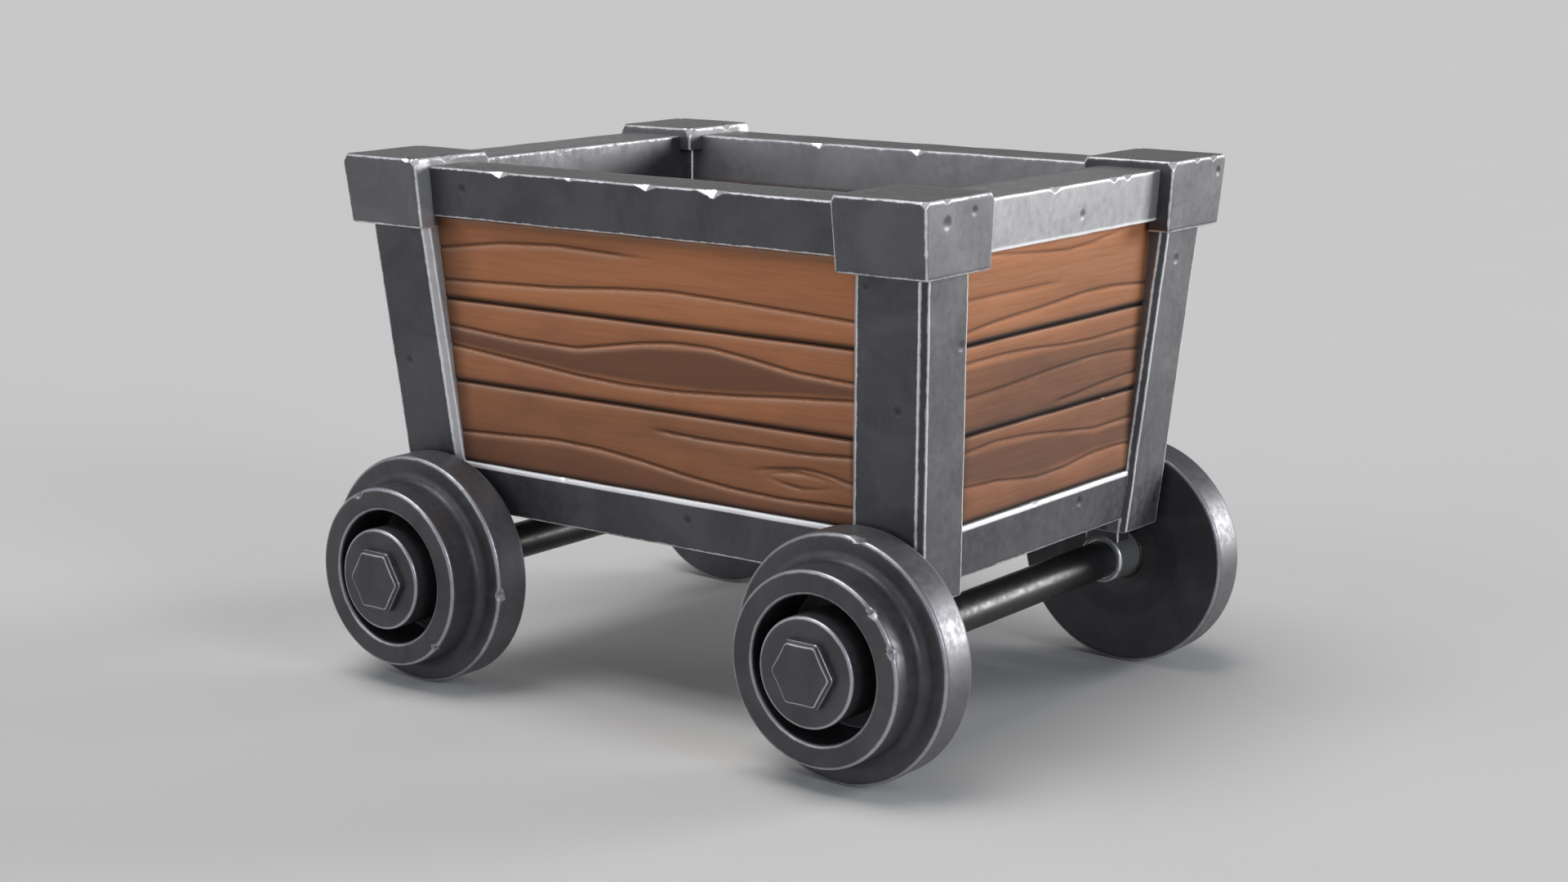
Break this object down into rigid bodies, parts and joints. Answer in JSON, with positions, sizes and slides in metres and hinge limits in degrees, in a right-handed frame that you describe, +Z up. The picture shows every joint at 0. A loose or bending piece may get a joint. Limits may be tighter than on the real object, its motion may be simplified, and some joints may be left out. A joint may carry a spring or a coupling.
{
  "type": "mine cart",
  "caption": "Narrow-gauge mine cart: leaning timber tub in a steel corner-post frame with corner caps, on fixed axles with loose flanged wheels held by hub caps and hex bolts.",
  "frame": {"origin": "middle of the cart in plan, level with the lowest points of the four wheel flanges", "axes": "+X along the track towards the front end, +Y across the track to the left side, +Z up"},
  "size_m": [1.2812, 1.0962, 0.893],
  "materials": {
    "dark_steel": "dark gunmetal, worn bright along the edges, small dents",
    "cast_iron": "rough cast iron, worn on rims and corners",
    "oiled_steel": "black oiled bar, glossy",
    "bronze": "dull bearing bronze",
    "wood": "warm brown board with deep flowing grain, satin"
  },
  "bodies": {
    "root": {"axle_bracket_front_left": "dark_steel", "axle_bracket_front_right": "dark_steel", "axle_bracket_rear_left": "dark_steel", "axle_bracket_rear_right": "dark_steel", "axle_front": "oiled_steel", "axle_rear": "oiled_steel", "corner_cap_front_left": "dark_steel", "corner_cap_front_right": "dark_steel", "corner_cap_rear_left": "dark_steel", "corner_cap_rear_right": "dark_steel", "corner_post_front_left": "dark_steel", "corner_post_front_right": "dark_steel", "corner_post_rear_left": "dark_steel", "corner_post_rear_right": "dark_steel", "floor_bearer_1": "dark_steel", "floor_bearer_2": "dark_steel", "floor_bearer_3": "dark_steel", "floor_board_1": "wood", "floor_board_2": "wood", "floor_board_3": "wood", "floor_board_4": "wood", "hub_bolt_front_left": "dark_steel", "hub_bolt_front_right": "dark_steel", "hub_bolt_rear_left": "dark_steel", "hub_bolt_rear_right": "dark_steel", "hub_cap_front_left": "cast_iron", "hub_cap_front_right": "cast_iron", "hub_cap_rear_left": "cast_iron", "hub_cap_rear_right": "cast_iron", "plank_front_1": "wood", "plank_front_2": "wood", "plank_front_3": "wood", "plank_left_1": "wood", "plank_left_2": "wood", "plank_left_3": "wood", "plank_rear_1": "wood", "plank_rear_2": "wood", "plank_rear_3": "wood", "plank_right_1": "wood", "plank_right_2": "wood", "plank_right_3": "wood", "sill_front": "dark_steel", "sill_left": "dark_steel", "sill_rear": "dark_steel", "sill_right": "dark_steel", "top_rail_front": "dark_steel", "top_rail_left": "dark_steel", "top_rail_rear": "dark_steel", "top_rail_right": "dark_steel"},
    "wheel_front_left": {"wheel_front_left": "cast_iron", "wheel_bush_front_left": "bronze"},
    "wheel_front_right": {"wheel_front_right": "cast_iron", "wheel_bush_front_right": "bronze"},
    "wheel_rear_left": {"wheel_rear_left": "cast_iron", "wheel_bush_rear_left": "bronze"},
    "wheel_rear_right": {"wheel_rear_right": "cast_iron", "wheel_bush_rear_right": "bronze"}
  },
  "joints": [
    {"name": "wheel_spin_front_left", "type": "hinge", "parent": "root", "child": "wheel_front_left", "pos_m": [0.4451, 0.449, 0.1955], "axis": [0, 1, 0], "continuous": true},
    {"name": "wheel_spin_front_right", "type": "hinge", "parent": "root", "child": "wheel_front_right", "pos_m": [0.4451, -0.449, 0.1955], "axis": [0, 1, 0], "continuous": true},
    {"name": "wheel_spin_rear_left", "type": "hinge", "parent": "root", "child": "wheel_rear_left", "pos_m": [-0.4451, 0.449, 0.1955], "axis": [0, 1, 0], "continuous": true},
    {"name": "wheel_spin_rear_right", "type": "hinge", "parent": "root", "child": "wheel_rear_right", "pos_m": [-0.4451, -0.449, 0.1955], "axis": [0, 1, 0], "continuous": true}
  ]
}
